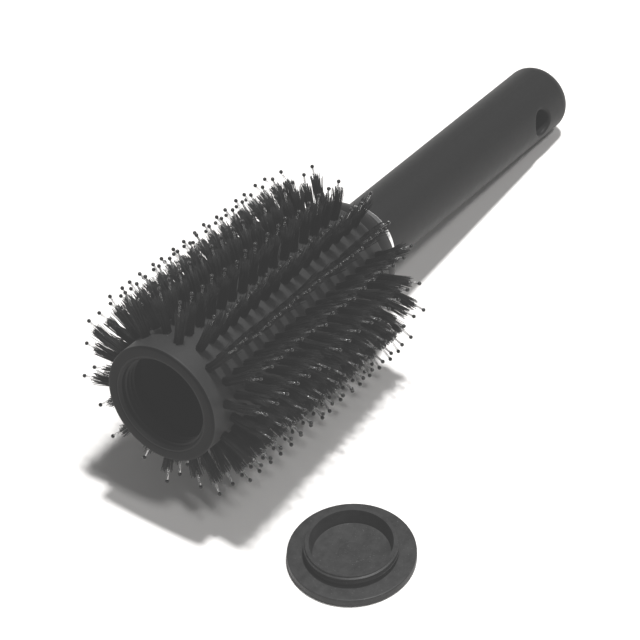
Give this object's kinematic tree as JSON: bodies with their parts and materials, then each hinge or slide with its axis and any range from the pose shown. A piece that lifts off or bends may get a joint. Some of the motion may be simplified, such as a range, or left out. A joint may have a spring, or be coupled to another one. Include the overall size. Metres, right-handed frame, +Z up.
{
  "type": "round hair brush",
  "caption": "Round hair brush with a hollow barrel, ball-tipped pins in bristle tufts, a straight handle with a hanging hole, and a screw-off end cap that closes the barrel.",
  "frame": {"origin": "centre of the underside of the whole part's bounding box, on the floor it lies on", "axes": "+X along the floor from the barrel's mouth to the handle's end, +Z up, +Y away from the side the cap lies on"},
  "size_m": [0.2454, 0.1232, 0.0889],
  "materials": {
    "barrel": "satin black plastic",
    "insert": "black plastic",
    "shoulder": "satin black plastic",
    "bright_ring": "polished bright ring",
    "grip": "soft matt black coating",
    "bristles": "bundled black bristles",
    "pins": "clear nylon pins with black ball tips",
    "cap": "satin black plastic"
  },
  "bodies": {
    "brush": {"barrel_shell": "barrel", "mouth_insert": "insert", "barrel_shoulder": "shoulder", "collar_ring": "bright_ring", "handle": "grip", "tuft_row_01": "bristles", "tuft_row_02": "bristles", "tuft_row_03": "bristles", "tuft_row_04": "bristles", "tuft_row_05": "bristles", "tuft_row_06": "bristles", "tuft_row_07": "bristles", "tuft_row_08": "bristles", "tuft_row_09": "bristles", "tuft_row_10": "bristles", "tuft_row_11": "bristles", "tuft_row_12": "bristles", "tuft_row_13": "bristles", "tuft_row_14": "bristles", "tuft_row_15": "bristles", "tuft_row_16": "bristles", "tuft_row_17": "bristles", "tuft_row_18": "bristles", "tuft_row_19": "bristles", "tuft_row_20": "bristles", "pin_row_01": "pins", "pin_row_02": "pins", "pin_row_03": "pins", "pin_row_04": "pins", "pin_row_05": "pins", "pin_row_06": "pins", "pin_row_07": "pins", "pin_row_08": "pins", "pin_row_09": "pins", "pin_row_10": "pins", "pin_row_11": "pins", "pin_row_12": "pins", "pin_row_13": "pins", "pin_row_14": "pins", "pin_row_15": "pins", "pin_row_16": "pins", "pin_row_17": "pins", "pin_row_18": "pins", "pin_row_19": "pins", "pin_row_20": "pins"},
    "cap_swing_arm": {"pin_ball_on_swing_axis": "pins"},
    "cap_disc": {"end_cap_flange": "cap"},
    "cap_boss": {"end_cap_boss": "cap"}
  },
  "joints": [
    {"name": "cap_swing", "type": "hinge", "parent": "brush", "child": "cap_swing_arm", "pos_m": [-0.07314, -0.01415, 0.05206], "axis": [-0.7412, 0.2443, -0.6252], "range_deg": [0, 156.71]},
    {"name": "cap_travel", "type": "slide", "parent": "cap_swing_arm", "child": "cap_disc", "axis": [0, 0, 1], "range_m": [0, 0.006]},
    {"name": "cap_turn", "type": "hinge", "parent": "cap_disc", "child": "cap_boss", "pos_m": [-0.10098, -0.0399, 0.00325], "axis": [0, 0, 1], "range_deg": [0, 1080]}
  ],
  "couplings": [
    {"joint": "cap_travel", "follows": "cap_turn", "m_per_rad": 0.00031831}
  ]
}
